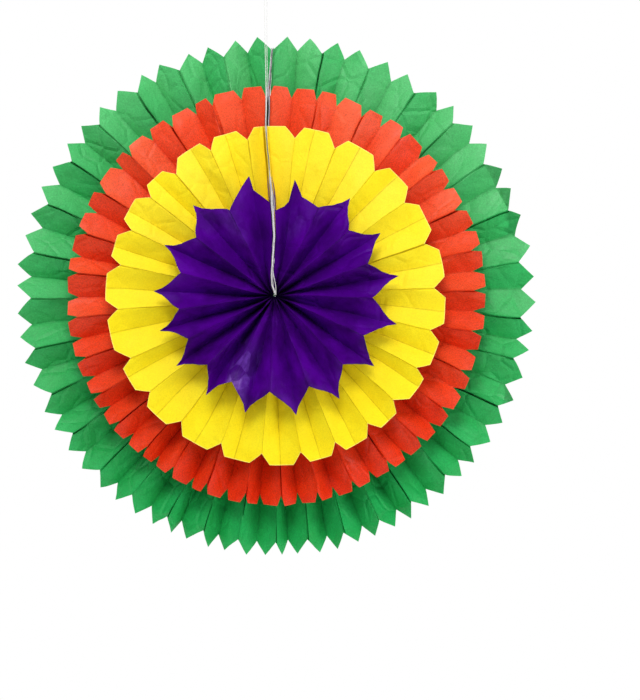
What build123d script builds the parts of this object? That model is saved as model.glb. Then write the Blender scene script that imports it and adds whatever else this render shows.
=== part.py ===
from build123d import *
import math
import os

# Paper flower for hanging: four round fans of pleated paper on one axis, the smallest in front.
# Millimetres. The flower faces -Y and its seam stands at +Z, above the hub. The origin is on
# the axis, at the middle of the stack of fans.

# Each fan's folds are unevenly spaced. Its pitch waves are the cosine and sine shares of one wave
# round the disc and then of two waves. Its seam stands a few degrees off the top, clockwise if
# positive.

# Purple fan, in front: points that run out thin, each folded back along its middle
purple_radius = 90.0
purple_point_length = 17.0
purple_tip_length = 6.0
purple_tip_half_width = 3.4
purple_point_count = 16
purple_pitch_waves = (0.09, 0.04, 0.09, -0.06)
purple_seam_turn = 0.4

# Yellow fan: scallops with slanted corners, each folded back along its middle
yellow_radius = 129.0
yellow_corner_length = 9.2
yellow_corner_width = 7.2
yellow_scallop_count = 24
yellow_pitch_waves = (0.02, 0.01, -0.02, 0.1)
yellow_seam_turn = -0.4

# Red fan: every panel ends flat, with both of its corners clipped
red_radius = 160.0
red_corner_length = 8.5
red_corner_width = 3.2
red_pleat_count = 30
red_pitch_waves = (0.14, 0.02, 0.025, -0.03)
red_seam_turn = -1.0

# Green fan, at the back: every panel ends in a low point
green_radius = 200.0
green_point_length = 11.0
green_card_radius = 191.0
green_pleat_count = 34
green_pitch_waves = (0.14, 0.015, -0.08, 0.03)
green_seam_turn = 1.0

# Paper: the folds lie deep at the hub and open towards the rim, as each panel keeps its width
paper_thickness = 0.2
rim_fold_depth = 6.0
gathered_thickness = 1.5
layer_gap = 0.3

# End cards, which stiffen the two ends of each sheet and are cut to the same outline, but for
# the green fan's, which stop short of its points
card_thickness = 1.0
card_inset = 0.5
glue_line = 0.05
seam_gap = 0.3

# Thread, doubled into a loop: out of the hub, up the front of the seam and over a hook
thread_diameter = 0.5
strand_gap = 0.2
thread_clearance = 0.3
hub_room = 1.2
hub_turn_radius = 2.7
rim_turn_radius = 6.0
hook_turn_radius = 1.0
hook_height = 232.0
hook_setback = 11.0

# Knot behind the hub, which keeps the doubled thread from pulling through
knot_overhang = 1.2
knot_length = 6.0
knot_shoulder = 1.8

FRONT, BACK = -1, 1
OUTER, INNER = 1, -1
FLAP_EDGE = -2
STATION_SHARES = (0, 0.2, 0.45, 0.72, 1)

flap_x = seam_gap / 2 + card_thickness + glue_line + paper_thickness / 2
first_fold_x = flap_x + paper_thickness
hub_radius = first_fold_x + hub_room


def mirrored(profile):
    """The same rim cut, seen from the panel's other edge."""
    return [(1 - share, radius) for share, radius in reversed(profile)]


class Fan:
    """One pleated sheet, opened right round until its two ends meet at the seam.

    Columns run round the sheet: the flap glued on one card, its turn, the folds from 0 to
    the last, and then the other card's turn and flap. The profile is the rim cut of one
    panel, as shares of the panel's width and radii, and turns round in every second panel.
    """

    def __init__(self, radius, cut_length, profile, panels, pitch_waves, card_fold, seam_turn):
        self.notch_radius = radius - cut_length
        self.card_radius = radius
        self.profile = profile
        self.panels = panels
        self.pitch_waves = pitch_waves
        self.card_fold = card_fold
        self.seam_turn = seam_turn
        widest_step = max(self.turn(fold + 1) - self.turn(fold) for fold in range(panels))
        widest_panel = 2 * radius * math.sin(math.pi * widest_step)
        self.pleat = math.hypot(widest_panel, rim_fold_depth)
        self.depth = self.pleat + gathered_thickness
        spread = self.notch_radius - hub_radius
        self.stations = [hub_radius + spread * share for share in STATION_SHARES]

    def turn(self, column):
        """Share of the full turn at a column."""
        share = column / self.panels
        angle = math.tau * share
        one_cos, one_sin, two_cos, two_sin = self.pitch_waves
        one_wave = one_cos * math.sin(angle) + one_sin * (1 - math.cos(angle))
        two_waves = two_cos * math.sin(2 * angle) + two_sin * (1 - math.cos(2 * angle))
        return share + (one_wave + two_waves / 2) / math.tau

    def angle(self, column, radius):
        """Place of a column round the disc, from the seam."""
        clear = math.asin(first_fold_x / radius)
        return clear + self.turn(column) * (math.tau - 2 * clear)

    def fold_height(self, fold, radius):
        """Distance of a fold behind the disc's middle plane, or in front of it if negative."""
        side = self.card_fold if fold % 2 == 0 else -self.card_fold
        if fold in (0, self.panels):
            return side * self.pleat / 2
        step = self.angle(fold + 0.5, radius) - self.angle(fold - 0.5, radius)
        panel = 2 * radius * math.sin(step / 2)
        return side * math.sqrt(self.pleat**2 - panel**2) / 2

    def axial_thickness(self, radius):
        """Paper thickness along the axis: it grows as the panels stand up, until they pinch."""
        panel = math.tau * radius / self.panels
        return min(paper_thickness * self.pleat / panel, gathered_thickness)

    def point(self, column, radius, skin):
        """A point on one skin of the sheet. A column between two folds lies on their panel."""
        if column >= self.panels:
            x, y, z = self.point(self.panels - column, radius, skin)
            return (-x, y, z)
        if column < 0 or (column == 0 and skin == INNER):
            return self.flap_point(column, radius, skin)
        return self.panel_point(column, radius, skin)

    def flap_point(self, column, radius, skin):
        share = min(column - FLAP_EDGE, 1)
        edge = -self.card_fold * self.pleat / 2
        turn = self.card_fold * (self.pleat + skin * self.axial_thickness(radius)) / 2
        x = flap_x - skin * paper_thickness / 2
        return (x, edge + share * (turn - edge), math.sqrt(radius**2 - first_fold_x**2))

    def panel_point(self, column, radius, skin):
        fold = min(int(column), self.panels - 1)
        share = column - fold
        near = self.fold_height(fold, radius)
        far = self.fold_height(fold + 1, radius)
        y = near + share * (far - near) + skin * self.card_fold * self.axial_thickness(radius) / 2
        angle = self.angle(column, radius)
        return (radius * math.sin(angle), y, radius * math.cos(angle))

    def rim(self, column):
        """Rim of the strip that starts at a column."""
        if column in (FLAP_EDGE + 1, self.panels):
            fold_end = self.profile[0][1]
            return [(0, fold_end), (1, fold_end)]
        if column == FLAP_EDGE:
            return mirrored(self.profile)
        if column > self.panels:
            return self.profile
        return self.profile if column % 2 == 0 else mirrored(self.profile)

    def triangles(self):
        """All facets of the sheet: its two skins, the cut rim, the hub edge and the two ends."""
        facets = []

        def add(*corners):
            if len(set(corners)) == 3:
                facets.append(corners)

        def add_band(left, right):
            for corner in range(len(left) - 1):
                add(left[corner], right[corner], right[corner + 1])
                add(left[corner], right[corner + 1], left[corner + 1])

        last_column = self.panels - FLAP_EDGE
        for column in range(FLAP_EDGE, last_column):
            rim = self.rim(column)
            rim_edges = []
            hub_edges = []
            for skin in (OUTER, INNER):
                left = [self.point(column, radius, skin) for radius in self.stations]
                right = [self.point(column + 1, radius, skin) for radius in self.stations]
                rim_edge = [self.point(column + share, radius, skin) for share, radius in rim]
                add_band(left, right)
                corners = [left[-1]] + rim_edge + [right[-1]]
                if rim[0][1] > self.notch_radius:
                    corners.reverse()
                for corner in range(1, len(corners) - 1):
                    add(corners[0], corners[corner], corners[corner + 1])
                rim_edges.append(rim_edge)
                hub_edges.append([left[0], right[0]])
            add_band(*rim_edges)
            add_band(*hub_edges)
        for column in (FLAP_EDGE, last_column):
            radii = self.stations + [self.profile[-1][1]]
            add_band(*[[self.point(column, radius, skin) for radius in radii] for skin in (OUTER, INNER)])
        return facets

    def sheet(self):
        return Solid(Shell([Face(Wire.make_polygon(corners)) for corners in self.triangles()]))

    def card(self, side):
        """End card on one side of the seam, standing edge-on to the front."""
        fold_edge = self.card_fold * (self.pleat / 2 - card_inset)
        x = side * seam_gap / 2
        outline = [(x, fold_edge, hub_radius)]
        for share, radius in self.profile:
            top = min(radius, self.card_radius) - card_inset
            outline.append((x, fold_edge * (1 - 2 * share), top))
        outline.append((x, -fold_edge, hub_radius))
        return extrude(Face(Wire.make_polygon(outline)), card_thickness, dir=(side, 0, 0))


def panel_width(radius, panels):
    return math.tau * radius / panels


def purple_fan():
    panels = 2 * purple_point_count
    notch = purple_radius - purple_point_length
    shoulder = 1 - purple_tip_half_width / panel_width(purple_radius, panels)
    profile = [(0, notch), (shoulder, purple_radius - purple_tip_length), (1, purple_radius)]
    return Fan(
        purple_radius,
        purple_point_length,
        profile,
        panels,
        purple_pitch_waves,
        FRONT,
        purple_seam_turn,
    )


def yellow_fan():
    panels = 2 * yellow_scallop_count
    notch = yellow_radius - yellow_corner_length
    corner = 1 - yellow_corner_width / panel_width(yellow_radius, panels)
    profile = [(0, yellow_radius), (corner, yellow_radius), (1, notch)]
    return Fan(
        yellow_radius,
        yellow_corner_length,
        profile,
        panels,
        yellow_pitch_waves,
        BACK,
        yellow_seam_turn,
    )


def red_fan():
    panels = 2 * red_pleat_count
    notch = red_radius - red_corner_length
    corner = red_corner_width / panel_width(red_radius, panels)
    profile = [(0, notch), (corner, red_radius), (1 - corner, red_radius), (1, notch)]
    return Fan(
        red_radius,
        red_corner_length,
        profile,
        panels,
        red_pitch_waves,
        FRONT,
        red_seam_turn,
    )


def green_fan():
    panels = 2 * green_pleat_count
    notch = green_radius - green_point_length
    profile = [(0, notch), (0.5, green_radius), (1, notch)]
    fan = Fan(
        green_radius,
        green_point_length,
        profile,
        panels,
        green_pitch_waves,
        FRONT,
        green_seam_turn,
    )
    fan.card_radius = green_card_radius
    return fan


def thread_loop(front, back, rim_height):
    """Doubled thread: from the knot through the hub, up the seam, over the hook and back."""
    near = (thread_diameter + strand_gap) / 2
    strand_up = [
        (-near, back, 0),
        (-near, front, 0),
        (-near, front, rim_height),
        (-hook_turn_radius, hook_setback, hook_height),
    ]
    route = strand_up + [(-x, y, z) for x, y, z in reversed(strand_up)]
    bends = [hub_turn_radius, rim_turn_radius, hook_turn_radius]
    path = FilletPolyline(*route, radius=bends + bends[::-1])
    print("thread bend radii", bends, "length", round(path.length, 1))
    section = Plane(origin=path @ 0, z_dir=path % 0) * Circle(thread_diameter / 2)
    return sweep(section, path=path)


def back_knot(face):
    """Barrel-shaped knot behind the hub, with a flat seat as wide as the hole that it stops."""
    knot_radius = hub_radius + knot_overhang
    outline = Polyline(
        (0, 0),
        (hub_radius, 0),
        (knot_radius, knot_shoulder),
        (knot_radius, knot_length - knot_shoulder),
        (hub_radius, knot_length),
        (0, knot_length),
        close=True,
    )
    return Pos(0, face, 0) * revolve(make_face(outline), Axis.Y)


def build():
    fans = {"purple": purple_fan(), "yellow": yellow_fan(), "red": red_fan(), "green": green_fan()}
    stack_depth = sum(fan.depth for fan in fans.values()) + layer_gap * (len(fans) - 1)
    nodes = {}
    front = -stack_depth / 2
    for name, fan in fans.items():
        middle = Pos(0, front + fan.depth / 2, 0) * Rot(0, fan.seam_turn, 0)
        nodes[name + "_fan"] = middle * fan.sheet()
        nodes[name + "_card_left"] = middle * fan.card(-1)
        nodes[name + "_card_right"] = middle * fan.card(1)
        front += fan.depth + layer_gap
    knot_face = stack_depth / 2 + layer_gap
    thread_front = -stack_depth / 2 - thread_diameter / 2 - thread_clearance
    nodes["hanging_thread"] = thread_loop(thread_front, knot_face, fans["purple"].notch_radius)
    nodes["hub_knot"] = back_knot(knot_face)
    print("stack depth", round(stack_depth, 2), "hub radius", round(hub_radius, 2))
    return nodes


os.makedirs("parts", exist_ok=True)
for node_name, shape in build().items():
    export_step(shape, f"parts/{node_name}.step")
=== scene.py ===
import math
import random

import bpy
from mathutils import Matrix, Vector, noise


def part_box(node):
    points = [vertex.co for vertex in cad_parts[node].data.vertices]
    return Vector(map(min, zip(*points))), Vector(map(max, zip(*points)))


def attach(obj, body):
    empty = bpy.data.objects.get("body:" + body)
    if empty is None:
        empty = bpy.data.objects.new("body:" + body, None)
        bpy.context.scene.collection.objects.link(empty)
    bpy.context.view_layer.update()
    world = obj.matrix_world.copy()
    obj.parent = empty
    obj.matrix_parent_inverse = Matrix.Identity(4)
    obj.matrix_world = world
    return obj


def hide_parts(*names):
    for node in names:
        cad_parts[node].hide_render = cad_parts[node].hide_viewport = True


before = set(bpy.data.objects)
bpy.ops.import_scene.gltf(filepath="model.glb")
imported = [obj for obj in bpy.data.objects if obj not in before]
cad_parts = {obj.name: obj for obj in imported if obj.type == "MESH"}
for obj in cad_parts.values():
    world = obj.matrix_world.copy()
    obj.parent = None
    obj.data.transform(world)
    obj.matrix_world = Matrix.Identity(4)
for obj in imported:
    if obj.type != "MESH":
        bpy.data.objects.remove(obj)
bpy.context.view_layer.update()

# Layered paper fan flower. Sizes are in millimetres and become metres where a mesh is made.
MM = 0.001
FRONT, BACK = -1, 1
noise_seed = 1
noise.seed_set(noise_seed)
noise_offset = (7.3, 3.1, 5.7)

# Paper and cards, as in the part's source
gathered_thickness = 1.5
hub_radius = 2.7
card_thickness = 1.0
card_inset = 0.5
seam_gap = 0.3
flap_x = 1.3

# Grid of a sheet: points along each column, and columns as shares of a panel, a flap or a card
station_count = 60
tip_rows = 9
least_tip = 0.4
edge_width = 0.7
slot_share = 0.05
slope_shares = (0.19, 0.34, 0.5, 0.7, 0.9)
flap_shares = (0.0, 0.25, 0.5, 0.75)
card_shares = (0.0, 0.2, 0.4, 0.6, 0.8, 1.0)

# Thickness, edges, the painted shade on folded tips, and the painted sheen: its mean share on a panel and how
# much more falls on panels that face up
sheet_thickness = 0.16
sheet_sharp_angle = 24
card_sharp_angle = 40
card_bevel = 0.12
bevel_angle = 50
painted_tip_shade = 0.5
mean_sheen = 0.5
sheen_facing_up = 0.3

# Folds: where they bunch and flatten near the hub, which of them count as low, and how they pinch
bunch_start, bunch_reach = 5, 50
flat_start, flat_reach = 8, 50
most_flat = 0.9
low_turn, low_from, low_band = 0.1, 0.8, 0.16
least_fold_share = 0.22
pinch_reach = 0.055
straight_tip_from = 0.75

# Slots below the ridges, dented in and darkened with painted shadow: the side they lie on, and how they come
# and go along a ridge
sag_turn, sag_middle, sag_gain = 0.35, 0.5, 2.2
slot_wave, slot_step, slot_mean, slot_swing = 0.035, 1.7, 0.7, 1.3

# Crumple: heights and waves of the dents and of the wander, and the calm stretch beside the seam
broad_dent, broad_dent_wave = 1.3, 0.06
fine_dent, fine_dent_wave = 0.6, 0.16
broad_wander, broad_wander_wave = 2.0, 0.025
fine_wander, fine_wander_wave = 0.4, 0.08
calm_panels = 1.5
seam_reach = 14

# Paper's patterns, as noise scales for each metre, among them the breaks in the painted sheen and the painted
# glints; the heights of its relief in metres; and in metres the heights over which the painted sheen grows
# towards the top and the reach of the purple's painted hub shade
cloud_scale = 42.0
sheen_scale = 25.0
fibre_scale = 950.0
broken_line_scale = 160.0
gloss_scale = 75.0
warp_scale = 55.0
crease_scale = 48.0
handled_scale = 17.0
crumple_scale = 110.0
facet_scale = 95.0
glint_scale = 240.0
warp_reach = 0.004
crease_height = 0.0012
crumple_height = 0.0014
fibre_height = 0.0002
sheen_low, sheen_high = -0.16, 0.17
hub_shade_inner, hub_shade_outer = 0.003, 0.02


def linear(red, green, blue):
    """Linear colour from display values of 0 to 255."""
    channels = [red / 255, green / 255, blue / 255]
    return tuple(c / 12.92 if c < 0.04045 else ((c + 0.055) / 1.055) ** 2.4 for c in channels) + (1.0,)


def smooth(share):
    share = min(max(share, 0.0), 1.0)
    return share * share * (3 - 2 * share)


def along(line, place):
    """Value at a place on a line of (place, value) points, eased between them."""
    for (place_a, value_a), (place_b, value_b) in zip(line, line[1:]):
        if place <= place_b:
            return value_a + (value_b - value_a) * smooth((place - place_a) / (place_b - place_a))
    return line[-1][1]


# Materials


class Nodes:
    """Short calls for one material's node tree."""

    def __init__(self, name):
        self.material = bpy.data.materials.new(name)
        self.material.use_nodes = True
        self.tree = self.material.node_tree
        self.shader = self.tree.nodes["Principled BSDF"]
        self.place = self.add("ShaderNodeTexCoord").outputs["Object"]

    def add(self, kind, **settings):
        node = self.tree.nodes.new(kind)
        for key, value in settings.items():
            setattr(node, key, value)
        return node

    def link(self, output, socket):
        self.tree.links.new(output, socket)

    def noise(self, scale, detail=3.0, roughness=0.55, place=None):
        node = self.add("ShaderNodeTexNoise")
        node.inputs["Scale"].default_value = scale
        node.inputs["Detail"].default_value = detail
        node.inputs["Roughness"].default_value = roughness
        self.link(place or self.place, node.inputs["Vector"])
        return node.outputs["Fac"]

    def remap(self, value, low, high, to_low=0.0, to_high=1.0):
        node = self.add("ShaderNodeMapRange")
        self.link(value, node.inputs["Value"])
        settings = {"From Min": low, "From Max": high, "To Min": to_low, "To Max": to_high}
        for socket, number in settings.items():
            node.inputs[socket].default_value = number
        return node.outputs["Result"]

    def mix(self, factor, first, second, blend="MIX"):
        node = self.add("ShaderNodeMix", data_type="RGBA", blend_type=blend)
        sockets = {"Factor": factor, "A": first, "B": second}
        for socket in node.inputs:
            if socket.name not in sockets or not socket.enabled:
                continue
            value = sockets[socket.name]
            if isinstance(value, bpy.types.NodeSocket):
                self.link(value, socket)
            else:
                socket.default_value = value
        return next(s for s in node.outputs if s.enabled)

    def times(self, first, second):
        node = self.add("ShaderNodeMath", operation="MULTIPLY")
        for socket, value in zip(node.inputs, (first, second)):
            if isinstance(value, bpy.types.NodeSocket):
                self.link(value, socket)
            else:
                socket.default_value = value
        return node.outputs["Value"]

    def add_painted_highlight(self, colour, middle, turn, reach, pale, strength):
        """A painted highlight: a crinkled patch of paler colour for glossy reflection about a point, longer
        one way than the other.
        """
        mapping = self.add("ShaderNodeMapping", vector_type="TEXTURE")
        mapping.inputs["Location"].default_value = [c * MM for c in middle]
        mapping.inputs["Rotation"].default_value = (0, math.radians(turn), 0)
        mapping.inputs["Scale"].default_value = [c * MM for c in reach]
        self.link(self.place, mapping.inputs["Vector"])
        length = self.add("ShaderNodeVectorMath", operation="LENGTH")
        self.link(mapping.outputs["Vector"], length.inputs[0])
        inside = self.remap(length.outputs["Value"], 0.6, 1.0, 1.0, 0.0)
        cells = self.add("ShaderNodeTexVoronoi")
        cells.inputs["Scale"].default_value = facet_scale
        self.link(self.place, cells.inputs["Vector"])
        pick = self.add("ShaderNodeSeparateColor")
        self.link(cells.outputs["Color"], pick.inputs["Color"])
        facets = self.remap(pick.outputs["Red"], 0.3, 0.9, 0.15, 1.0)
        glints = self.remap(self.noise(glint_scale, 5.0, 0.65), 0.4, 0.62, 0.45, 1.0)
        share = self.times(self.times(inside, facets), self.times(glints, strength))
        return self.mix(share, colour, pale)

    def bump(self, height, strength, distance, below=None):
        node = self.add("ShaderNodeBump")
        node.inputs["Strength"].default_value = strength
        node.inputs["Distance"].default_value = distance
        self.link(height, node.inputs["Height"])
        if below is not None:
            self.link(below, node.inputs["Normal"])
        return node.outputs["Normal"]


def paper_material(
    name, light, dark, line, edge, painted_line_share, edge_share, grain, crumple, roughness, specular, painted_sheen,
    painted_line_band=(0.0, 1.0), least_painted_line=0.15, hub_shade=0.0, highlight_patches=(),
):
    """Thin dyed paper: cloudy dye, fibre grain and creases, with painted light: painted sheen towards the top
    and on panels facing up, painted shade along folds, slots and folded tips (a paler painted highlight on
    the purple), a painted highlight along cut edges (darker on the purple), and where asked painted shade
    near the hub and patches of painted highlight.
    """
    paper = Nodes(name)
    cloud = paper.remap(paper.noise(cloud_scale, 4.0), 0.36, 0.64)
    colour = paper.mix(cloud, light, dark)
    # Painted sheen: paler towards the top, and through the tone mark on panels that face up, broken by noise
    height = paper.add("ShaderNodeSeparateXYZ")
    paper.link(paper.place, height.inputs["Vector"])
    sheen_mask = paper.remap(height.outputs["Z"], sheen_low, sheen_high)
    tone = paper.add("ShaderNodeAttribute", attribute_name="tone").outputs["Fac"]
    sheen_mask = paper.times(sheen_mask, paper.remap(paper.noise(sheen_scale, 3.0), 0.3, 0.7, 0.6, 1.0))
    colour = paper.mix(paper.times(sheen_mask, paper.remap(tone, 0.0, 1.0, 0.25, 1.55)), colour, painted_sheen)
    fibre = paper.noise(fibre_scale, 4.0, 0.75)
    speck = paper.remap(fibre, 0.3, 0.7, 1 - grain, 1 + grain)
    tint = paper.add("ShaderNodeCombineColor")
    for socket in tint.inputs[:3]:
        paper.link(speck, socket)
    colour = paper.mix(1.0, colour, tint.outputs["Color"], "MULTIPLY")
    # Painted shade along the fold lines, in the slots below the ridges and on folded tips; on the purple the
    # line colour is paler, a painted highlight
    fold = paper.add("ShaderNodeAttribute", attribute_name="fold").outputs["Fac"]
    fold = paper.remap(fold, *painted_line_band)
    broken = paper.remap(paper.noise(broken_line_scale, 3.0), 0.35, 0.65, least_painted_line, 1.0)
    colour = paper.mix(paper.times(paper.times(fold, broken), painted_line_share), colour, line)
    # Painted highlight along the cut rim, where the edge catches the light; on the purple the edge colour is
    # darker
    rim = paper.add("ShaderNodeAttribute", attribute_name="rim").outputs["Fac"]
    colour = paper.mix(paper.times(rim, edge_share), colour, edge)
    # Painted shade near the hub, where the folds crowd together
    if hub_shade:
        flat = paper.add("ShaderNodeVectorMath", operation="MULTIPLY")
        paper.link(paper.place, flat.inputs[0])
        flat.inputs[1].default_value = (1.0, 0.0, 1.0)
        from_axis = paper.add("ShaderNodeVectorMath", operation="LENGTH")
        paper.link(flat.outputs["Vector"], from_axis.inputs[0])
        distance = from_axis.outputs["Value"]
        near_hub = paper.remap(distance, hub_shade_inner, hub_shade_outer, hub_shade, 0.0)
        colour = paper.mix(near_hub, colour, linear(14, 0, 30))
    # Painted highlights: crinkled patches of glossy reflection
    for patch in highlight_patches:
        colour = paper.add_painted_highlight(colour, *patch)
    paper.link(colour, paper.shader.inputs["Base Color"])
    low, high = roughness
    gloss = paper.remap(paper.noise(gloss_scale, 3.0), 0.35, 0.65, low, high)
    paper.link(gloss, paper.shader.inputs["Roughness"])
    paper.shader.inputs["Specular IOR Level"].default_value = specular
    bent = paper.add("ShaderNodeVectorMath", operation="MULTIPLY_ADD")
    warp = paper.add("ShaderNodeTexNoise")
    warp.inputs["Scale"].default_value = warp_scale
    paper.link(paper.place, warp.inputs["Vector"])
    paper.link(warp.outputs["Color"], bent.inputs[0])
    bent.inputs[1].default_value = (warp_reach, warp_reach, warp_reach)
    paper.link(paper.place, bent.inputs[2])
    cells = paper.add("ShaderNodeTexVoronoi", feature="DISTANCE_TO_EDGE")
    cells.inputs["Scale"].default_value = crease_scale
    paper.link(bent.outputs["Vector"], cells.inputs["Vector"])
    handled = paper.remap(paper.noise(handled_scale, 2.0), 0.38, 0.56)
    crease = paper.times(paper.remap(cells.outputs["Distance"], 0.0, 0.12, 0.0, 1.0), handled)
    normal = paper.bump(crease, crumple, crease_height)
    normal = paper.bump(paper.noise(crumple_scale, 3.0), crumple, crumple_height, normal)
    normal = paper.bump(fibre, 0.35, fibre_height, normal)
    paper.link(normal, paper.shader.inputs["Normal"])
    return paper.material


def card_material():
    """Greyboard strip: pale pressed fibre with darker patches."""
    card = Nodes("end_card_board")
    fibre = card.noise(900.0, 4.0, 0.65)
    colour = card.mix(card.remap(fibre, 0.35, 0.65), linear(168, 162, 170), linear(214, 210, 214))
    patch = card.remap(card.noise(60.0, 3.0), 0.4, 0.62)
    colour = card.mix(card.times(patch, 0.5), colour, linear(120, 110, 124))
    card.link(colour, card.shader.inputs["Base Color"])
    card.link(card.remap(fibre, 0.3, 0.7, 0.7, 0.9), card.shader.inputs["Roughness"])
    card.link(card.bump(fibre, 0.35, fibre_height), card.shader.inputs["Normal"])
    return card.material


def thread_material():
    """Off-white twisted cotton."""
    cotton = Nodes("thread_cotton")
    fluff = cotton.noise(2600.0, 4.0, 0.7)
    colour = cotton.mix(cotton.remap(fluff, 0.3, 0.7), linear(208, 207, 206), linear(238, 238, 234))
    cotton.link(colour, cotton.shader.inputs["Base Color"])
    cotton.link(cotton.remap(fluff, 0.3, 0.7, 0.65, 0.85), cotton.shader.inputs["Roughness"])
    cotton.link(cotton.bump(fluff, 0.4, 0.0001), cotton.shader.inputs["Normal"])
    cotton.shader.inputs["Sheen Weight"].default_value = 0.3
    return cotton.material


# Pieces


def add_piece(name, points, faces, material, slot, nodes, marks=None):
    """A new piece from points in millimetres, in place of the named nodes."""
    mesh = bpy.data.meshes.new(name)
    mesh.from_pydata([tuple(c * MM for c in p) for p in points], [], faces)
    mesh.polygons.foreach_set("use_smooth", [True] * len(mesh.polygons))
    for mark, values in (marks or {}).items():
        mesh.attributes.new(mark, "FLOAT", "POINT").data.foreach_set("value", values)
    mesh.materials.append(material)
    piece = bpy.data.objects.new(name, mesh)
    bpy.context.scene.collection.objects.link(piece)
    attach(piece, "root")
    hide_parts(*nodes)
    return piece


def thicken(piece, thickness, sharp_angle, bevel=0.0):
    """Gives a piece's sheet its thickness, rounds its edges where asked and marks the sharp ones."""
    solidify = piece.modifiers.new("thickness", "SOLIDIFY")
    solidify.thickness = thickness * MM
    solidify.offset = 0.0
    if bevel:
        round_edges = piece.modifiers.new("edges", "BEVEL")
        round_edges.width = bevel * MM
        round_edges.segments = 2
        round_edges.limit_method = "ANGLE"
        round_edges.angle_limit = math.radians(bevel_angle)
    solid = bpy.data.meshes.new_from_object(piece.evaluated_get(bpy.context.evaluated_depsgraph_get()))
    piece.modifiers.clear()
    solid.set_sharp_from_angle(angle=math.radians(sharp_angle))
    solid.name = piece.name
    piece.data = solid


def grid_faces(columns, rows):
    faces = []
    for column in range(columns - 1):
        for row in range(rows - 1):
            corner = column * rows + row
            faces.append((corner, corner + rows, corner + rows + 1, corner + 1))
    return faces


straight = [(0, 0), (1, 0)]


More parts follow.
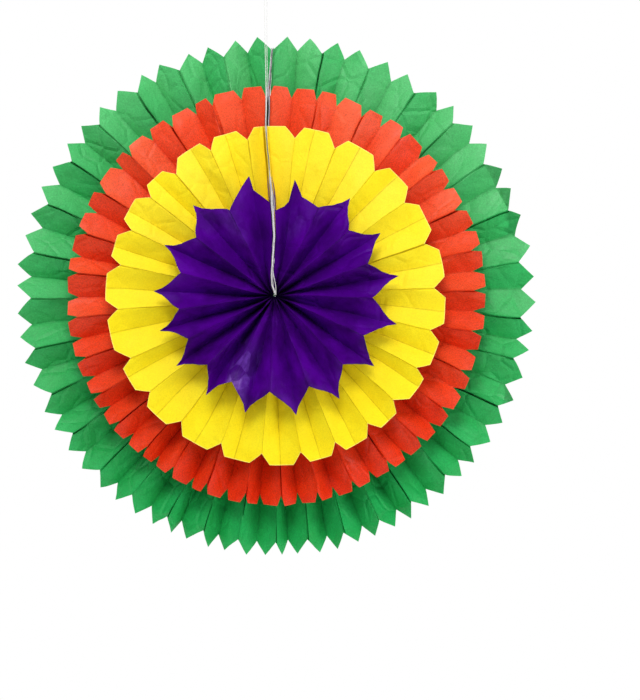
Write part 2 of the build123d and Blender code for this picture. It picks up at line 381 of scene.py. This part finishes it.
class Fan:
    """One pleated sheet as it hangs: folds unevenly opened, panels bowed and a little crumpled."""

    def __init__(
        self, colour, radius, notch_radius, profile, panels, card_fold, pitch_waves, seam_turn, seed,
    ):
        self.colour = colour
        self.radius = radius
        self.notch_radius = notch_radius
        self.profile = profile
        self.panels = panels
        self.card_fold = card_fold
        self.pitch_waves = pitch_waves
        self.seam_turn = Matrix.Rotation(math.radians(seam_turn), 3, "Y")
        self.seed = Vector([seed * offset for offset in noise_offset])
        low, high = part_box(colour + "_fan")
        self.middle = Vector((0, (low[1] + high[1]) / 2 / MM, 0))
        self.pleat = (high[1] - low[1]) / MM - gathered_thickness
        # Seam and cards, with sideways places as lines along the radius
        self.card_radius = radius
        self.card_share = 1.0
        self.card_gap = seam_gap
        self.seam_line = straight
        self.seam_flat = 0.0
        self.opening = {-1: straight, 1: straight}
        self.card_opening = None
        self.flap_splay = straight
        # Rim: tips that two panels share, panels and flaps with a cut of their own, tips folded over
        self.tip_shift = None
        self.own_profiles = {}
        self.flap_profiles = {}
        self.folded_tips = {}
        # Folds, and the painted line along them
        self.inner = hub_radius
        self.flat_near_hub = 0.0
        self.flat_below_hub = 0.0
        self.shallow = 1.0
        self.slot_depth = 4.0
        self.painted_fold_line = 0.25
        # Crumple
        self.crumple = 1.0
        self.dents = 1.0
        self.wander = 1.0
        # Chance differences from fold to fold and from panel to panel
        chance = random.Random(seed)
        self.shift = [0.0] + [chance.gauss(0, 0.075) for _ in range(panels - 1)] + [0.0]
        self.lift = [1.0] + [1 + chance.gauss(0, 0.1) for _ in range(panels - 1)] + [1.0]
        self.bow = [chance.uniform(0.0, 0.14) for _ in range(panels)]
        self.pinch = [chance.uniform(0.03, 0.1) for _ in range(panels)]
        self.groove = [chance.uniform(0.3, 1.0) for _ in range(panels)]
        self.droop = [chance.gauss(0, 0.1) for _ in range(panels + 1)]
        self.short = [min(abs(chance.gauss(0, 0.03)), 0.08) for _ in range(panels + 1)]
        self.bulge = [chance.gauss(0, 0.3) for _ in range(panels)]
        self.bunch = [0.0] + [chance.uniform(-0.42, 0.42) for _ in range(panels - 1)] + [0.0]
        self.slack = [chance.uniform(0.3, 1.0) for _ in range(panels + 1)]
        self.creases = [[self.random_crease(chance) for _ in range(3)] for _ in range(panels)]
        # Random change from panel to panel in the share of painted sheen
        self.tone = [chance.uniform(-0.3, 0.3) for _ in range(panels)]

    def random_crease(self, chance):
        """A faint oblique crease across a panel: its place, slope, width and height."""
        place = chance.uniform(0.3, 1.0)
        slope = chance.uniform(-0.3, 0.3)
        width = chance.uniform(5, 14)
        height = chance.gauss(0, 0.6)
        return place, slope, width, height

    def turn(self, column, radius):
        """Share of the full turn at a column, each fold a little out of its even place, more near the hub."""
        share = column / self.panels
        angle = math.tau * share
        one_cos, one_sin, two_cos, two_sin = self.pitch_waves
        one_wave = one_cos * math.sin(angle) + one_sin * (1 - math.cos(angle))
        two_waves = two_cos * math.sin(2 * angle) + two_sin * (1 - math.cos(2 * angle))
        fold = min(int(column), self.panels - 1)
        part = column - fold
        near_hub = 1 - smooth((radius - bunch_start) / bunch_reach)
        shifts = [self.shift[f] + near_hub * self.bunch[f] for f in (fold, fold + 1)]
        shift = (1 - part) * shifts[0] + part * shifts[1]
        return share + (one_wave + two_waves / 2) / math.tau + shift / self.panels

    def angle(self, column, radius):
        clear = math.asin(flap_x / radius)
        return clear + self.turn(column, radius) * (math.tau - 2 * clear)

    def side(self, fold):
        return self.card_fold if fold % 2 == 0 else -self.card_fold

    def fold_height(self, fold, radius):
        """Depth of a fold from the middle of the sheet, least where the panels open widest."""
        outward = smooth(radius / self.radius * 2)
        if fold in (0, self.panels):
            return self.side(fold) * self.pleat / 2 * (1 - self.seam_flat * outward)
        step = self.angle(fold + 0.5, radius) - self.angle(fold - 0.5, radius)
        panel = 2 * radius * math.sin(step / 2)
        spare = max(1 - (panel / self.pleat) ** 2, least_fold_share**2)
        lift = 1 + (self.lift[fold] - 1) * smooth(radius / self.radius)
        near_hub = 1 - smooth((radius - flat_start) / flat_reach)
        low = smooth((-math.cos(self.angle(fold, radius) + low_turn) - low_from) / low_band)
        flat = self.flat_near_hub * self.slack[fold] + self.flat_below_hub * low
        lift *= (1 - min(flat, most_flat) * near_hub) * (1 - (1 - self.shallow) * outward)
        return min(math.sqrt(spare) * lift, 1.0) * self.side(fold) * self.pleat / 2

    def rim_radius(self, profile, share):
        for (share_a, radius_a), (share_b, radius_b) in zip(profile, profile[1:]):
            if share <= share_b:
                return radius_a + (radius_b - radius_a) * (share - share_a) / (share_b - share_a)
        return profile[-1][1]

    def panel_profile(self, panel):
        if panel in self.own_profiles:
            return self.own_profiles[panel]
        if panel % 2 == 0:
            return self.profile
        return [(1 - share, radius) for share, radius in reversed(self.profile)]

    def tip(self, panel):
        """Number of the tip that a panel's cut end belongs to, where two panels can share one."""
        if self.tip_shift is None:
            return panel
        return 2 * ((panel + self.tip_shift) // 2) % self.panels

    def across_panel(self, panel, share):
        """Fall from one fold to the next: a pinched ridge, then a long easy slope to the valley."""
        from_ridge = share if self.side(panel) == FRONT else 1 - share
        slope = from_ridge + self.bow[panel] * from_ridge * (1 - from_ridge)
        fall = (1 - self.pinch[panel]) * slope + self.pinch[panel] * (1 - math.exp(-from_ridge / pinch_reach))
        return fall if self.side(panel) == FRONT else 1 - fall

    def groove_share(self, panel, share, angle, radius):
        """How much of the slot lies here, below a ridge whose upper panel sags over the lower one; the slot
        is dented in and darkened with painted shadow.
        """
        from_ridge = share if self.side(panel) == FRONT else 1 - share
        below = math.sin(angle + sag_turn) if self.side(panel) == FRONT else -math.sin(angle + sag_turn)
        place = Vector((radius * slot_wave, panel * slot_step, 0)) + self.seed
        stretch = min(max(slot_mean + slot_swing * noise.noise(place), 0.0), 1.0)
        sag = smooth(sag_middle + sag_gain * below) * self.groove[panel] * stretch
        return sag * max(0.0, 1 - abs(from_ridge - slot_share) / slot_share)

    def painted_line_mark(self, panel, share, radius):
        """Share of the line colour here: painted shade along the fold lines, painted shadow in the slots and
        painted shade on folded tips; on the purple, a paler painted highlight.
        """
        if self.tip(panel) in self.folded_tips and share > 0:
            past, _, _ = self.past_fold(panel, share, radius)
            if past > 0:
                return painted_tip_shade
        if share == 0.0:
            return self.painted_fold_line
        return self.groove_share(panel, share, self.angle(panel + share, radius), radius)

    def past_fold(self, panel, share, radius):
        """Distance past the line where a panel's tip bends, with its bend and its sideways turn."""
        tip = self.tip(panel)
        bend, lean, sway = self.folded_tips.get(tip, (self.droop[tip], 0.0, 0.0))
        if lean < 0:
            bend *= 1 - smooth((share - straight_tip_from) / (1 - straight_tip_from))
        return max(radius - self.notch_radius - lean * share, 0.0), bend, sway

    def panel_sheen(self, panel):
        """Share of painted sheen on a panel, more on those that face up where the light falls, with a random
        tone of its own.
        """
        up = math.sin(self.angle(panel + 0.5, self.radius)) * self.side(panel)
        return min(max(mean_sheen + sheen_facing_up * up + self.tone[panel], 0.0), 1.0)

    def tip_crease(self, panel, share):
        """Radius of the crease across a folded tip, where the panel has one."""
        if self.tip(panel) not in self.folded_tips:
            return None
        return self.notch_radius + self.folded_tips[self.tip(panel)][1] * share

    def seam_bend(self, radius):
        """Sideways bend of the cards and the sheet's ends along the seam."""
        return along(self.seam_line, radius)

    def dent(self, panel, share, radius, place):
        """Height of a panel's bulge, dents and creases over its flat."""
        dent = self.bulge[panel] + broad_dent * noise.noise(place * broad_dent_wave + self.seed)
        dent += fine_dent * noise.noise(place * fine_dent_wave + self.seed)
        for start, slope, width, height in self.creases[panel]:
            from_crease = abs(radius / self.radius - start - slope * (share - 0.5)) * self.radius
            dent += height * max(0.0, 1 - from_crease / width)
        return dent * self.crumple * self.dents

    def panel_point(self, panel, share, radius):
        """On a panel, from one fold to the next, with its bent tip, wander, dents and slot."""
        column = panel + share
        from_seam = min(column, self.panels - column)
        calm = smooth(from_seam / calm_panels)
        near = self.fold_height(panel, radius)
        far = self.fold_height(panel + 1, radius)
        height = near + (far - near) * self.across_panel(panel, share)
        tip = self.tip(panel)
        past, bend, sway = self.past_fold(panel, share, radius)
        out = radius - past * (1 - math.cos(bend * calm)) - past * self.short[tip]
        height += past * math.sin(bend * calm)
        angle = self.angle(column, radius) + sway * past / radius
        place = Vector((out * math.sin(angle), height, out * math.cos(angle)))
        reach = smooth(radius / self.radius) * calm
        wander = noise.noise_vector(place * broad_wander_wave + self.seed) * broad_wander
        wander += noise.noise_vector(place * fine_wander_wave + self.seed) * fine_wander
        place += wander * reach * self.crumple * self.wander
        width = 2 * radius * math.sin((self.angle(panel + 1, radius) - self.angle(panel, radius)) / 2)
        normal = Vector((0, width, 0)) - Vector((math.cos(angle), 0, -math.sin(angle))) * (far - near)
        normal.normalize()
        place += normal * self.dent(panel, share, radius, place) * math.sin(math.pi * share) * reach
        place.y += self.slot_depth * self.groove_share(panel, share, angle, radius) * reach
        end = 1 if column < self.panels / 2 else -1
        place.x += self.seam_bend(radius) * (1 - smooth(from_seam * width / seam_reach))
        if self.card_fold == FRONT:
            place.x += end * along(self.opening[end], radius) * (1 - smooth(from_seam))
        return place

    def flap_point(self, end, share, radius):
        """On the flap at one end of the sheet, from its free edge to its turn."""
        edge = -self.card_fold * self.pleat / 2
        x = end * flap_x + self.seam_bend(radius)
        if self.card_fold == FRONT:
            x += end * along(self.opening[end], radius) * share
        x += end * along(self.flap_splay, radius) * (1 - share)
        return Vector((x, edge * (1 - 2 * share), math.sqrt(radius**2 - flap_x**2)))

    def column_shares(self, panel):
        shares = {0.0, slot_share, 2 * slot_share, *slope_shares}
        if self.side(panel) == BACK:
            shares = {0.0} | {1 - share for share in shares if share > 0}
        shares.update(share for share, _ in self.panel_profile(panel))
        shares.discard(1.0)
        return sorted(shares)

    def radii(self, rim, crease=None):
        """Places of a column's points, with one on the crease of a folded tip."""
        last = rim - edge_width
        rows = station_count - 2 if crease is None else station_count - tip_rows
        turn = last if crease is None else min(crease, last - least_tip)
        places = [self.inner + (turn - self.inner) * row / rows for row in range(rows)]
        rest = station_count - 1 - rows
        return places + [turn + (last - turn) * row / max(rest - 1, 1) for row in range(rest)] + [rim]

    def sheet(self, material):
        """The whole sheet, from one flap through all panels to the other."""
        points = []
        fold = []
        rim_mark = []
        tone = []

        def add_column(place, rim, mark, crease=None, painted_sheen=mean_sheen):
            tone.extend([painted_sheen] * station_count)
            points.extend(place(radius) for radius in self.radii(rim, crease))
            fold.extend(mark(radius) for radius in self.radii(rim, crease))
            rim_mark.extend([0.0] * (station_count - 1) + [1.0])

        turned = [(1 - share, radius) for share, radius in reversed(self.profile)]
        for share in flap_shares:
            rim = min(self.rim_radius(self.flap_profiles.get(1, turned), share), self.card_radius)
            add_column(lambda radius: self.flap_point(1, share, radius), rim, lambda radius: 0.0)
        for panel in range(self.panels):
            profile = self.panel_profile(panel)
            for share in self.column_shares(panel):
                rim = self.rim_radius(profile, share)
                add_column(
                    lambda radius: self.panel_point(panel, share, radius),
                    rim,
                    lambda radius: self.painted_line_mark(panel, share, radius),
                    self.tip_crease(panel, share),
                    self.panel_sheen(panel),
                )
        for share in (1.0, *reversed(flap_shares)):
            rim = min(self.rim_radius(self.flap_profiles.get(-1, turned), share), self.card_radius)
            add_column(lambda radius: self.flap_point(-1, share, radius), rim, lambda radius: 0.0)
        points = [self.seam_turn @ point + self.middle for point in points]
        faces = grid_faces(len(points) // station_count, station_count)
        name = self.colour + "_sheet"
        slot = self.colour + "_paper"
        # Marks for painted light: painted shade at folds, slots and folded tips, the cut rim's colour (a
        # painted highlight, darker on the purple), and the share of painted sheen
        marks = {"fold": fold, "rim": rim_mark, "tone": tone}
        piece = add_piece(name, points, faces, material, slot, [self.colour + "_fan"], marks)
        thicken(piece, sheet_thickness, sheet_sharp_angle)

    def card(self, side, material):
        """End card, a little bowed, cut to the rim's outline."""
        name = "left" if side < 0 else "right"
        edge = self.card_fold * (self.pleat / 2 - card_inset)
        shares = sorted({*card_shares} | {share for share, _ in self.profile})
        points = []
        for share in shares:
            rim = min(self.rim_radius(self.profile, share), self.card_radius) - card_inset
            for radius in self.radii(rim):
                x = side * (self.card_gap + card_thickness * self.card_share) / 2 + self.seam_bend(radius)
                x += side * along((self.card_opening or self.opening)[side], radius) * (1 - share)
                point = Vector((x, edge * (1 - 2 * share), radius))
                points.append(self.seam_turn @ point + self.middle)
        faces = grid_faces(len(shares), station_count)
        node = f"{self.colour}_card_{name}"
        piece = add_piece(f"{self.colour}_board_{name}", points, faces, material, "end_card", [node])
        thicken(piece, card_thickness * self.card_share, card_sharp_angle, card_bevel)


def panel_width(radius, panels):
    return math.tau * radius / panels


# Rims: a panel's cut end as pairs of the share across the panel and the radius there
purple_radius, purple_notch, purple_panels = 90, 73, 32
purple_rim = [(0.0, purple_notch), (0.6, 80.0), (0.85, 84.5), (1.0, purple_radius)]
yellow_radius, yellow_notch, yellow_panels = 129, 119.8, 48
yellow_slant = 7.2 / panel_width(yellow_radius, yellow_panels)
yellow_rim = [(0.0, yellow_radius), (1 - yellow_slant, yellow_radius), (1.0, yellow_notch)]
red_radius, red_notch, red_panels = 160, 151.5, 60
red_corner = 3.2 / panel_width(red_radius, red_panels)
red_rim = [(0.0, red_notch), (red_corner, red_radius), (1 - red_corner, red_radius), (1.0, red_notch)]
green_radius, green_notch, green_panels = 200, 189, 68
green_rim = [(0.0, green_notch), (0.56, green_radius), (1.0, green_notch)]

# Purple fan: two longer tips on the right, folds that stay deep at the hub, lower panels at the seam
purple = Fan(
    "purple",
    radius=purple_radius,
    notch_radius=purple_notch,
    profile=purple_rim,
    panels=purple_panels,
    card_fold=FRONT,
    pitch_waves=(0.09, 0.04, 0.09, -0.06),
    seam_turn=0.4,
    seed=1,
)
purple.tip_shift = 0
purple.slot_depth = 1.5
purple.inner = 1.4
purple.short = [-0.12] * (purple_panels + 1)
for long_tip in (6, 8):
    purple.short[long_tip] = -0.22
for deep_fold in (10, 11, 12, 19, 20, 21, 22):
    purple.slack[deep_fold] = 0.0
purple.droop = [bend / 3 for bend in purple.droop]
purple.flat_near_hub = 0.7
purple.flat_below_hub = 0.5
purple.card_share = 0.65
purple.wander = 0.45
purple.shift[1] -= 0.34
purple.shift[31] += 0.27
purple.own_profiles = {
    0: [(0.0, 63.0), (0.6, 66.8), (0.85, 71.0), (1.0, 86.5)],
    1: [(0.0, 86.5), (0.34, 76.2), (1.0, 72.5)],
    30: [(0.0, 72.0), (0.5, 80.5), (1.0, 90.0)],
    31: [(0.0, 90.0), (0.06, 80.0), (1.0, 69.0)],
}
purple.flap_profiles = {
    1: [(0.0, 90.0), (0.7, 84.0), (1.0, 63.0)],
    -1: [(0.0, 90.0), (0.7, 84.0), (1.0, 69.0)],
}
purple.seam_line = [
    (1.4, -0.4), (7, -1.9), (14, -2.2), (24.6, -1.3), (36, -0.4),
    (44.6, 0.4), (54.6, 0), (70.8, -0.5), (90, -1.8),
]
purple.opening = {
    -1: [(40, 0), (70, 0.3), (90, 0)],
    1: [(40, 0), (60, 0.3), (72, 0.8), (84, 0.4), (90, 0)],
}
purple.card_opening = {-1: [(56, 0), (70, 0.3), (90, 0)], 1: [(56, 0), (70, 1.0), (82, 0.5), (90, 0)]}
purple.flap_splay = [(50, 0), (70, 1.4), (82, 1.2), (90, 0.2)]

# Yellow fan: shallow folds with lines of painted shade, and thin cards with room for the thread between them
yellow = Fan(
    "yellow",
    radius=yellow_radius,
    notch_radius=yellow_notch,
    profile=yellow_rim,
    panels=yellow_panels,
    card_fold=BACK,
    pitch_waves=(0.02, 0.01, -0.02, 0.1),
    seam_turn=-0.4,
    seed=2,
)
yellow.tip_shift = 1
yellow.crumple = 0.7
yellow.slot_depth = 1.6
yellow.painted_fold_line = 0.8
yellow.shallow = 0.6
yellow.seam_flat = 0.42
yellow.seam_line = [(2.7, 0), (80, -0.6), (93, -0.8), (103, -1.0), (111, -1.7), (129, -2.1)]
yellow.card_share = 0.22
yellow.card_gap = 0.56
yellow.flap_splay = [(60, 0), (80, -0.68), (129, -0.68)]

# Red fan: a seam that gapes on the right
red = Fan(
    "red",
    radius=red_radius,
    notch_radius=red_notch,
    profile=red_rim,
    panels=red_panels,
    card_fold=FRONT,
    pitch_waves=(0.14, 0.02, 0.025, -0.03),
    seam_turn=-1.0,
    seed=3,
)
red.seam_line = [(2.7, 0), (110, -1.0), (131, -0.4), (143, 0.8), (156, 1.7), (160, 2.0)]
red.card_share = 0.8
red.opening = {-1: [(100, 0.2), (150, 0.2), (158, 0)], 1: [(100, 1.2), (148, 1.1), (157, 0)]}

# Green fan: short cards, and four tips on the right folded over, each with its bend, lean and sway
green = Fan(
    "green",
    radius=green_radius,
    notch_radius=green_notch,
    profile=green_rim,
    panels=green_panels,
    card_fold=FRONT,
    pitch_waves=(0.14, 0.015, -0.08, 0.03),
    seam_turn=1.0,
    seed=4,
)
green.seam_line = [(2.7, 0), (120, -2.5), (157, -3.0), (168.6, -1.9), (181.5, -0.7), (191, 0.25), (200, 0.6)]
green.card_radius = 191
green.card_share = 0.4
green.dents = 0.7
green.opening = {-1: [(150, 0), (192, -0.55)], 1: [(150, 0), (192, -0.55)]}
green.card_opening = {-1: [(150, 0), (192, 0)], 1: [(150, 0), (192, 0)]}
green.folded_tips = {
    10: (-0.3, 0.0, -0.2),
    11: (-0.55, 0.0, -0.4),
    12: (-0.55, -6.0, -0.4),
    19: (-0.45, 4.0, 0.1),
}
fans = [purple, yellow, red, green]

# Each paper's line colour is painted shade along folds, in slots and on folded tips (on the purple a paler
# painted highlight). Its edge colour is a painted highlight along the cut rim (darker on the purple), and its
# paler colour laid on towards the top and on panels that face up is painted sheen
papers = {
    "purple": paper_material(
        "purple_paper_dyed",
        light=linear(86, 1, 148),
        dark=linear(49, 0, 90),
        line=linear(120, 90, 160),
        edge=linear(40, 0, 80),
        painted_line_share=0.12,
        edge_share=0.4,
        grain=0.08,
        crumple=0.5,
        roughness=(0.36, 0.52),
        specular=0.08,
        painted_sheen=linear(70, 1, 126),
        hub_shade=0.8,
        # Painted highlights: middle, turn, reach, paler colour and strength
        highlight_patches=[
            ((-26.5, -34, -56), 24, (11, 60, 34), linear(124, 72, 190), 0.75),
            ((-33.5, -34, -65), 24, (6, 60, 12), linear(160, 118, 208), 0.8),
            ((-28.5, -34, 54.1), -28, (10, 60, 22), linear(110, 50, 176), 0.25),
            ((16.1, -34, 52.6), 17, (8, 60, 16), linear(110, 56, 176), 0.2),
        ],
    ),
    "yellow": paper_material(
        "yellow_paper_dyed",
        light=linear(248, 228, 26),
        dark=linear(245, 220, 16),
        line=linear(160, 130, 6),
        edge=linear(255, 246, 150),
        painted_line_share=0.6,
        edge_share=0.7,
        grain=0.1,
        crumple=0.35,
        roughness=(0.6, 0.75),
        specular=0.1,
        painted_sheen=linear(248, 224, 56),
        painted_line_band=(0.45, 0.85),
        least_painted_line=0.6,
    ),
    "red": paper_material(
        "red_paper_dyed",
        light=linear(226, 50, 2),
        dark=linear(217, 42, 1),
        line=linear(120, 10, 2),
        edge=linear(246, 100, 70),
        painted_line_share=0.85,
        edge_share=0.3,
        grain=0.36,
        crumple=0.35,
        roughness=(0.44, 0.54),
        specular=0.3,
        painted_sheen=linear(235, 92, 50),
    ),
    "green": paper_material(
        "green_paper_dyed",
        light=linear(34, 174, 88),
        dark=linear(28, 162, 76),
        line=linear(4, 64, 26),
        edge=linear(80, 200, 120),
        painted_line_share=0.85,
        edge_share=0.3,
        grain=0.25,
        crumple=0.6,
        roughness=(0.44, 0.54),
        specular=0.3,
        painted_sheen=linear(83, 184, 108),
        least_painted_line=0.5,
    ),
}
board = card_material()
for fan in fans:
    fan.sheet(papers[fan.colour])
    for card_side in (-1, 1):
        fan.card(card_side, board)

# Thread: through the hub, up the purple seam, between the yellow cards, over the hook and back
thread_diameter = 0.5
thread_step = 0.28
ply_depth = 0.16
strand_up = [
    (-0.35, 45.802, 0),
    (-0.35, -43.05, 0),
    (-0.35, -46.052, 0),
    (-0.35, -46.052, 2),
    (-2.2, -46.1, 7),
    (-2.5, -46.1, 14),
    (-1.5, -46.4, 25),
    (0.7, -46.4, 40),
    (0.4, -46.1, 53),
    (-0.35, -46.052, 70),
    (-0.35, -46.052, 73),
    (-0.37, -45.07, 75.8),
    (-0.9, -32.2, 85),
    (-1.4, -22, 92),
    (-1.45, -17, 95.5),
    (-1.72, -16.5, 103),
    (-2.47, -16, 111),
    (-2.74, -15.5, 120),
    (-3.0, -14.5, 129),
    (-2.9, -13.2, 134),
    (-1.9, -6.4, 162),
    (-1.7, 1.7, 195),
    (-1.0, 10, 229),
    (-1.2, 11, 232),
]
strand_down = [
    (1.2, 11, 232),
    (0.9, 10, 229),
    (-0.2, 1.9, 195),
    (-0.9, -5.9, 162),
    (-2.7, -12.2, 134),
    (-3.0, -13.6, 129),
    (-2.74, -14.6, 120),
    (-2.47, -15.1, 111),
    (-1.72, -15.6, 103),
    (-1.45, -16.1, 96),
    (-1.4, -21.5, 92.5),
    (-0.5, -32.2, 85.5),
    (0.37, -45.07, 75.8),
    (0.35, -46.052, 73),
    (0.35, -46.052, 70),
    (0.9, -46.0, 56),
    (1.2, -45.9, 44),
    (-0.8, -45.9, 29),
    (-1.4, -46.0, 17),
    (0.5, -46.0, 8),
    (0.6, -46.052, 3),
    (0.35, -46.052, 0),
    (0.35, -43.05, 0),
    (0.35, 45.802, 0),
]


def spline_points(route):
    """Points along the smooth line that the route's points control."""
    curve = bpy.data.curves.new("route", "CURVE")
    curve.dimensions = "3D"
    curve.resolution_u = 24
    spline = curve.splines.new("NURBS")
    spline.points.add(len(route) - 1)
    for control, place in zip(spline.points, route):
        control.co = (*[c * MM for c in place], 1.0)
    spline.order_u = 3
    spline.use_endpoint_u = True
    line = bpy.data.objects.new("route", curve)
    bpy.context.scene.collection.objects.link(line)
    mesh = bpy.data.meshes.new_from_object(line)
    raw = [vertex.co / MM for vertex in mesh.vertices]
    bpy.data.objects.remove(line)
    bpy.data.curves.remove(curve)
    bpy.data.meshes.remove(mesh)
    return raw


def evenly(points, step):
    """The same line with points a step apart."""
    spaced = [points[0].copy()]
    left = step
    for start, end in zip(points, points[1:]):
        run = (end - start).length
        place = 0.0
        while run - place > left:
            place += left
            spaced.append(start.lerp(end, place / run))
            left = step
        left -= run - place
    if (spaced[-1] - points[-1]).length > step / 3:
        spaced.append(points[-1].copy())
    else:
        spaced[-1] = points[-1].copy()
    return spaced


def twisted_tube(path, diameter, lay_length, sides, plies):
    """Tube of twisted plies along a path."""
    points = []
    faces = []
    across = None
    travelled = 0.0
    for index, place in enumerate(path):
        ahead = path[min(index + 1, len(path) - 1)]
        behind = path[max(index - 1, 0)]
        heading = (ahead - behind).normalized()
        if across is None:
            across = heading.orthogonal()
        across = (across - heading * across.dot(heading)).normalized()
        up = heading.cross(across)
        if index:
            travelled += (place - path[index - 1]).length
        turn = math.tau * travelled / lay_length
        for side in range(sides):
            angle = math.tau * side / sides
            radius = diameter / 2 * (1 - ply_depth + ply_depth * math.cos(plies * (angle - turn)))
            points.append(place + (across * math.cos(angle) + up * math.sin(angle)) * radius)
    for ring in range(len(path) - 1):
        for side in range(sides):
            following = (side + 1) % sides
            a = ring * sides + side
            b = ring * sides + following
            faces.append((a, b, b + sides, a + sides))
    faces.append(tuple(reversed(range(sides))))
    last = (len(path) - 1) * sides
    faces.append(tuple(range(last, last + sides)))
    return points, faces


cotton = thread_material()
thread_line = evenly(spline_points(strand_up + strand_down), thread_step)
thread_mesh = twisted_tube(thread_line, thread_diameter, lay_length=2.0, sides=8, plies=2)
thread = add_piece("hanging_cord", *thread_mesh, cotton, "thread", ["hanging_thread"])

# Knot behind the hub: a thick strand wound through itself
knot_low, knot_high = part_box("hub_knot")
knot_middle = (knot_low[1] + knot_high[1]) / 2 / MM
knot_steps = 360
knot_step = 0.2
knot_strand = 1.7
knot_ring, knot_swing, knot_depth = 2.15, 0.95, 1.75


def knot_line():
    """Closed trefoil line: twice round the axis and three times in and out."""
    points = []
    for step in range(knot_steps + 1):
        t = math.tau * step / knot_steps
        ring = knot_ring + knot_swing * math.cos(3 * t)
        y = knot_middle + knot_depth * math.sin(3 * t)
        points.append(Vector((ring * math.cos(2 * t), y, ring * math.sin(2 * t))))
    return points


knot_mesh = twisted_tube(evenly(knot_line(), knot_step), knot_strand, lay_length=3.4, sides=14, plies=3)
knot = add_piece("hub_knot_wound", *knot_mesh, cotton, "thread", ["hub_knot"])

# Camera: straight on, the flower up and to the left in the frame and hanging two degrees askew
camera_distance = 3.0
camera_roll = 2.0
sensor_width = 36
frame_height = 0.5385
framed_depth = 0.031
right_of_axis, above_axis = 0.0335, -0.0415
roll = Matrix.Rotation(math.radians(camera_roll), 4, "Y")
aim = roll @ Vector((right_of_axis, 0, above_axis))
camera = bpy.data.objects.new("camera", bpy.data.cameras.new("camera"))
camera.data.lens = sensor_width * (camera_distance + framed_depth) / frame_height
camera.data.sensor_width = sensor_width
camera.matrix_world = (
    Matrix.Translation(aim + Vector((0, -camera_distance, 0))) @ roll @ Matrix.Rotation(math.pi / 2, 4, "X")
)
bpy.context.scene.collection.objects.link(camera)
bpy.context.scene.camera = camera

# Light: broad lamps above in front, at both sides and behind, and a pale surround


def add_lamp(name, place, size, watts):
    """A square lamp aimed at the hub, with its place and size in metres."""
    lamp = bpy.data.lights.new(name, "AREA")
    lamp.size = size
    lamp.energy = watts
    holder = bpy.data.objects.new(name, lamp)
    holder.location = place
    holder.rotation_euler = (Vector() - Vector(place)).to_track_quat("-Z", "Y").to_euler()
    bpy.context.scene.collection.objects.link(holder)


add_lamp("front", (-0.05, -1.2, 0.75), size=0.45, watts=10.4)
add_lamp("above", (0, -0.5, 0.75), size=0.4, watts=1.4)
add_lamp("left", (-1.1, -0.8, 0.9), size=0.8, watts=4.2)
add_lamp("right", (1.5, -0.8, -0.15), size=0.8, watts=8.4)
add_lamp("behind", (0, 1.4, 1.1), size=1.0, watts=14)

surround_grey = 0.356
world = bpy.data.worlds.new("surround")
world.use_nodes = True
tree = world.node_tree
background = tree.nodes["Background"]
background.inputs["Color"].default_value = (surround_grey, surround_grey, surround_grey, 1)
paper_white = tree.nodes.new("ShaderNodeBackground")
rays = tree.nodes.new("ShaderNodeLightPath")
seen = rays.outputs["Is Camera Ray"]
for ray in ("Is Glossy Ray", "Is Transmission Ray"):
    either = tree.nodes.new("ShaderNodeMath")
    either.operation = "MAXIMUM"
    tree.links.new(seen, either.inputs[0])
    tree.links.new(rays.outputs[ray], either.inputs[1])
    seen = either.outputs["Value"]
choose = tree.nodes.new("ShaderNodeMixShader")
tree.links.new(seen, choose.inputs["Fac"])
tree.links.new(background.outputs["Background"], choose.inputs[1])
tree.links.new(paper_white.outputs["Background"], choose.inputs[2])
paper_white.inputs["Color"].default_value = (1, 1, 1, 1)
tree.links.new(choose.outputs["Shader"], tree.nodes["World Output"].inputs["Surface"])
bpy.context.scene.world = world

# Floor: a pale disc well below the hanging flower, in metres
floor_radius = 0.8
floor_height = -0.4
floor_sides = 96
floor_points = []
for side in range(floor_sides):
    angle = math.tau * side / floor_sides
    floor_points.append((floor_radius * math.cos(angle), floor_radius * math.sin(angle), floor_height))
floor_mesh = bpy.data.meshes.new("floor")
floor_mesh.from_pydata(floor_points, [], [tuple(range(floor_sides))])
floor = bpy.data.objects.new("floor", floor_mesh)
floor_paint = bpy.data.materials.new("floor_paint")
floor_paint.use_nodes = True
floor_shader = floor_paint.node_tree.nodes["Principled BSDF"]
floor_shader.inputs["Base Color"].default_value = (0.9, 0.9, 0.9, 1)
floor_shader.inputs["Roughness"].default_value = 0.9
floor_mesh.materials.append(floor_paint)
bpy.context.scene.collection.objects.link(floor)

bpy.context.scene.view_settings.view_transform = "Standard"
